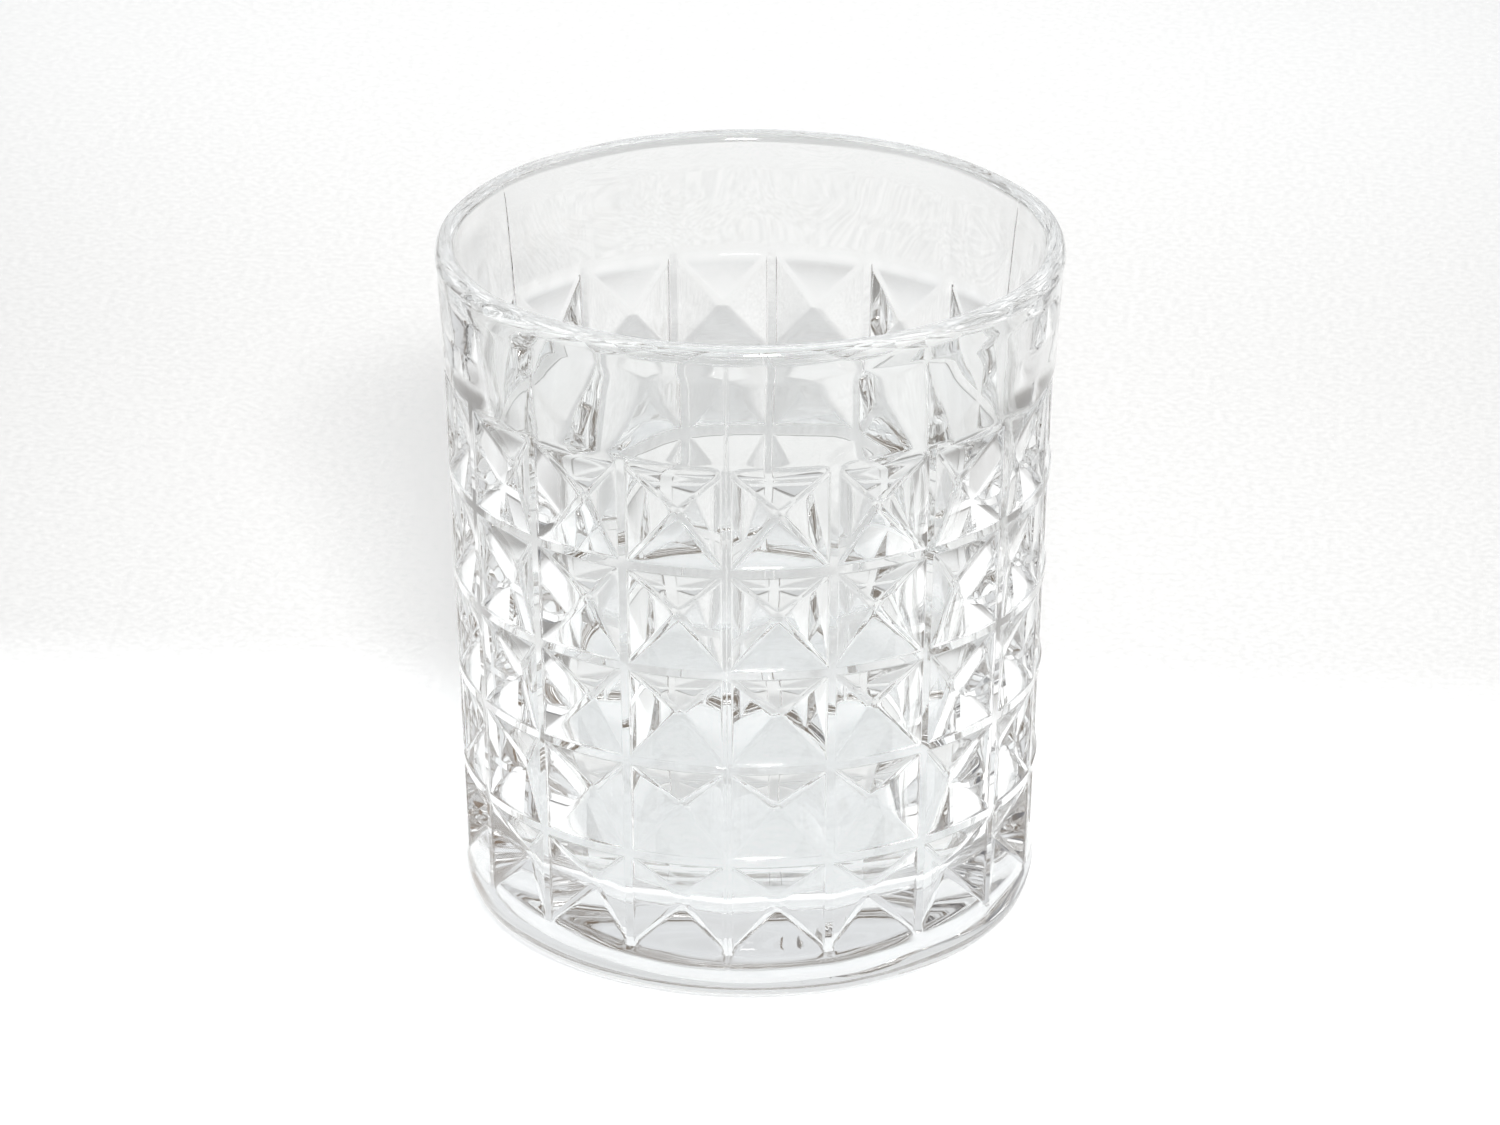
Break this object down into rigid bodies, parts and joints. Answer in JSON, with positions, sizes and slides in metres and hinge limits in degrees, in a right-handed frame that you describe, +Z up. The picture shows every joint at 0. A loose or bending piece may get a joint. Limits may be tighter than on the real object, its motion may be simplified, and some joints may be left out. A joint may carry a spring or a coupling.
{
  "type": "whiskey tumbler",
  "caption": "Short clear pressed-glass tumbler: smooth rounded rim, grid of square pyramid pits round the tapered side, thick solid base.",
  "frame": {"origin": "centre of the plane that the tumbler stands on", "axes": "+Z up along the tumbler's axis to the rim; -Y passes through an upright ridge that carries a mould seam"},
  "size_m": [0.0818, 0.0818, 0.0938],
  "materials": {
    "glass": "clear pressed soda-lime glass, fire-polished"
  },
  "bodies": {
    "root": {"glass_body": "glass"}
  },
  "joints": []
}
